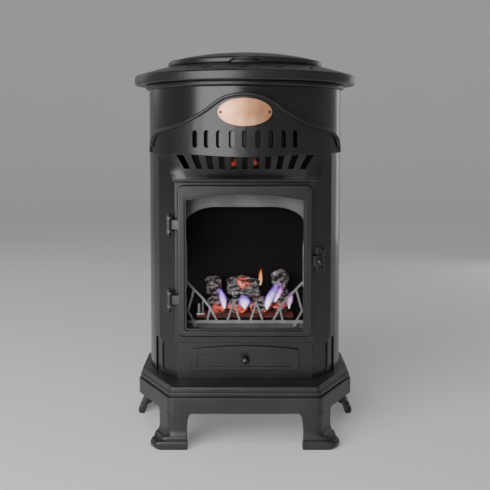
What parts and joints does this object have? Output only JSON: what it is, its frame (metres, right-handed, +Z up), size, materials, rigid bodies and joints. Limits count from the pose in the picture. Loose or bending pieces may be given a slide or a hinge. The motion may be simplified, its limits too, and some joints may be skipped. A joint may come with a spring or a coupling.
{
  "type": "cabinet gas stove in potbelly style",
  "caption": "Black drum-shaped cabinet stove with a cast front, arched glass door, louvred hood with an oval plaque, drawer, round lid and flared feet.",
  "frame": {"origin": "on the floor, under the middle of the drum", "axes": "+Z up, the door faces -Y, +X is to the right of someone who faces the door"},
  "size_m": [0.466, 0.466, 0.78],
  "materials": {
    "black_iron": "satin black heat-proof paint over a fine cast grain",
    "black_steel": "smooth satin black enamel on sheet steel",
    "black_door": "satin black paint, worn brighter on the edges",
    "grey_plate": "matt grey heat-proof paint, slightly sooted",
    "steel_work": "plain zinc-plated steel",
    "black_fasteners": "blackened steel",
    "copper_plaque": "rose copper, lightly brushed",
    "brass_work": "turned brass",
    "ceramic_coal": "rough ceramic fibre, grey with glowing red patches",
    "ember": "glowing ceramic ember bed",
    "dark_knob": "black moulded plastic",
    "red_button": "red moulded plastic",
    "fire_glass": "clear heat-proof glass with a grey cast"
  },
  "bodies": {
    "stove_body": {"base_plinth": "black_iron", "leg_front_left": "black_iron", "leg_front_right": "black_iron", "leg_rear_left": "black_iron", "leg_rear_right": "black_iron", "floor_plate": "black_steel", "drum_shell": "black_steel", "drawer_section": "black_iron", "front_casting": "black_iron", "louvre_panel": "black_iron", "hood_casting": "black_iron", "plaque": "copper_plaque", "plaque_screw_left": "steel_work", "plaque_screw_right": "steel_work", "collar": "black_iron", "top_plate": "black_iron", "lid_pin": "steel_work", "hinge_bracket_upper": "black_iron", "hinge_bracket_lower": "black_iron", "hinge_pin_upper": "black_fasteners", "hinge_pin_lower": "black_fasteners", "latch_keeper": "black_iron", "keeper_screw_lower": "black_fasteners", "keeper_screw_upper": "black_fasteners", "firebox_liner": "grey_plate", "firebox_surround": "grey_plate", "fire_fret": "black_iron", "burner_tray": "grey_plate", "ember_bed": "ember", "pilot_burner": "steel_work", "partition": "black_steel", "coal_left": "ceramic_coal", "coal_middle": "ceramic_coal", "coal_right": "ceramic_coal", "coal_far_right": "ceramic_coal", "coal_top_left": "ceramic_coal", "coal_top_right": "ceramic_coal", "coal_top_far_right": "ceramic_coal", "control_panel": "black_steel", "gas_valve": "brass_work", "igniter_body": "dark_knob", "gas_pipe": "steel_work", "inlet_tail": "brass_work", "drawer_runner_left": "steel_work", "drawer_runner_right": "steel_work"},
    "door": {"door_frame": "black_door", "door_glass": "fire_glass", "glass_clip_left": "steel_work", "glass_clip_right": "steel_work"},
    "latch": {"latch_knob": "black_fasteners"},
    "lid": {"lid": "black_iron"},
    "drawer": {"drawer_tray": "black_iron", "drawer_knob": "black_fasteners"},
    "spindle": {"valve_spindle": "steel_work"},
    "knob": {"control_knob": "dark_knob"},
    "igniter": {"igniter_button": "red_button"},
    "rear_cover": {"rear_panel": "black_steel"}
  },
  "joints": [
    {"name": "door_hinge", "type": "hinge", "parent": "stove_body", "child": "door", "pos_m": [-0.149, -0.165, 0.36], "axis": [0, 0, -1], "range_deg": [0, 110]},
    {"name": "latch_turn", "type": "hinge", "parent": "door", "child": "latch", "pos_m": [0.147, -0.16, 0.36035], "axis": [0, 1, 0], "range_deg": [0, 90]},
    {"name": "lid_hinge", "type": "hinge", "parent": "stove_body", "child": "lid", "pos_m": [0, 0.17, 0.7559], "axis": [-1, 0, 0], "range_deg": [0, 80]},
    {"name": "drawer_slide", "type": "slide", "parent": "stove_body", "child": "drawer", "axis": [0, -1, 0], "range_m": [0, 0.06]},
    {"name": "spindle_push", "type": "slide", "parent": "stove_body", "child": "spindle", "axis": [0, 0, -1], "range_m": [0, 0.004], "stiffness_N_per_m": 400, "springref_m": -0.005},
    {"name": "knob_turn", "type": "hinge", "parent": "spindle", "child": "knob", "pos_m": [0.062, -0.04, 0.74], "axis": [0, 0, -1], "range_deg": [0, 180]},
    {"name": "igniter_push", "type": "slide", "parent": "stove_body", "child": "igniter", "axis": [0, 0, -1], "range_m": [0, 0.005], "stiffness_N_per_m": 800, "springref_m": -0.003},
    {"name": "rear_lift_off", "type": "slide", "parent": "stove_body", "child": "rear_cover", "axis": [0, 1, 0], "range_m": [0, 0.3]}
  ]
}
